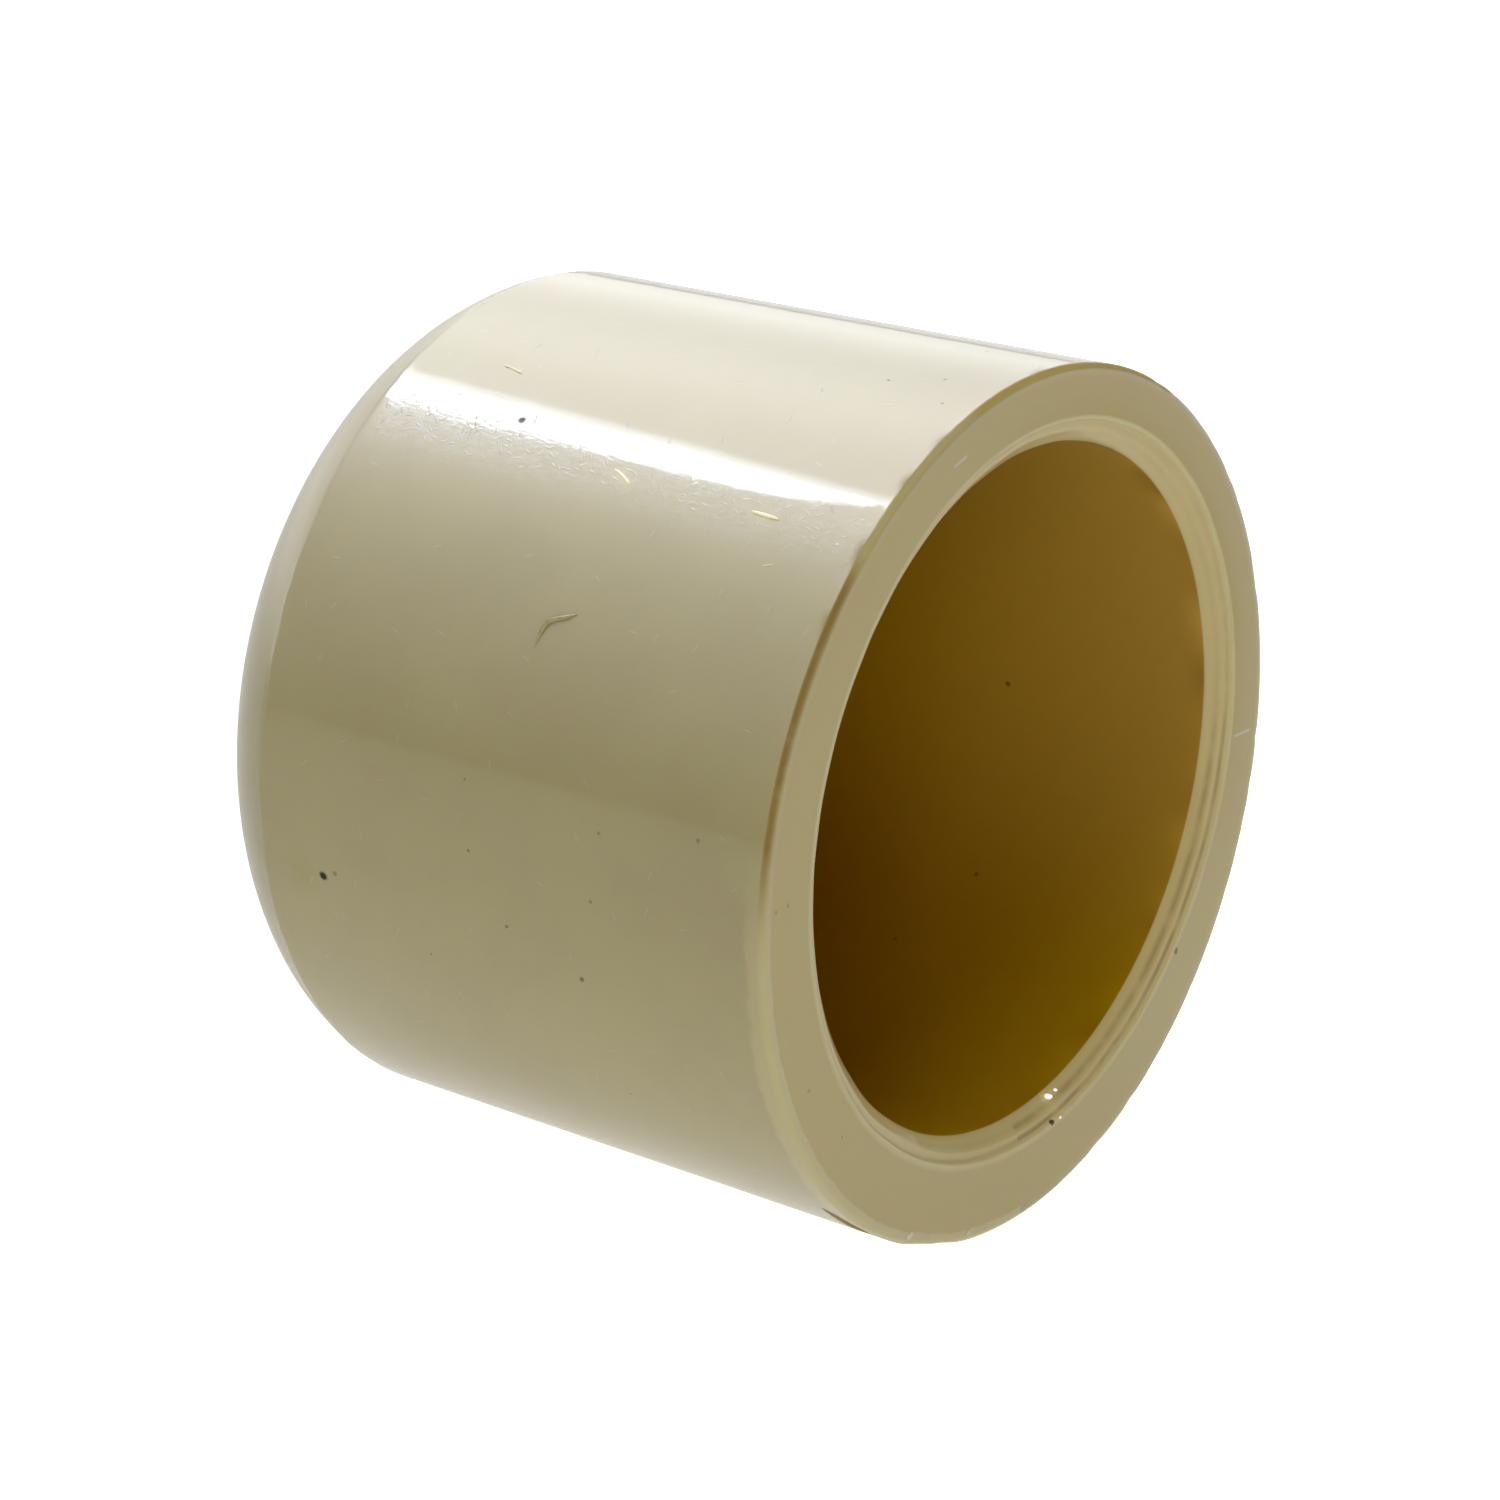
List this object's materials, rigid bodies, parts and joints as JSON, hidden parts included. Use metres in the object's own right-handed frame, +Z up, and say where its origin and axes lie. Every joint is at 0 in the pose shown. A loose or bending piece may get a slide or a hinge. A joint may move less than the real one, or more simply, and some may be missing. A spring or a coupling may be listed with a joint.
{
  "type": "pipe cap",
  "caption": "Glossy cream CPVC pipe cap: a short round cup with a plain socket for solvent cement, a chamfered mouth and a thick closed end with a rounded shoulder.",
  "frame": {"origin": "centre of the closed end's flat outer face, on the wall's axis", "axes": "+X runs along the pipe's axis from the closed end out of the mouth; +Z is up with the cap lying on its side, as it was pictured; the trimmed gate's flat is near the bottom, turned 20 degrees towards -Y"},
  "size_m": [0.0236, 0.0286, 0.0286],
  "materials": {
    "cream_cpvc": "glossy, slightly translucent moulded cream CPVC"
  },
  "bodies": {
    "root": {"cap_body": "cream_cpvc"}
  },
  "joints": []
}
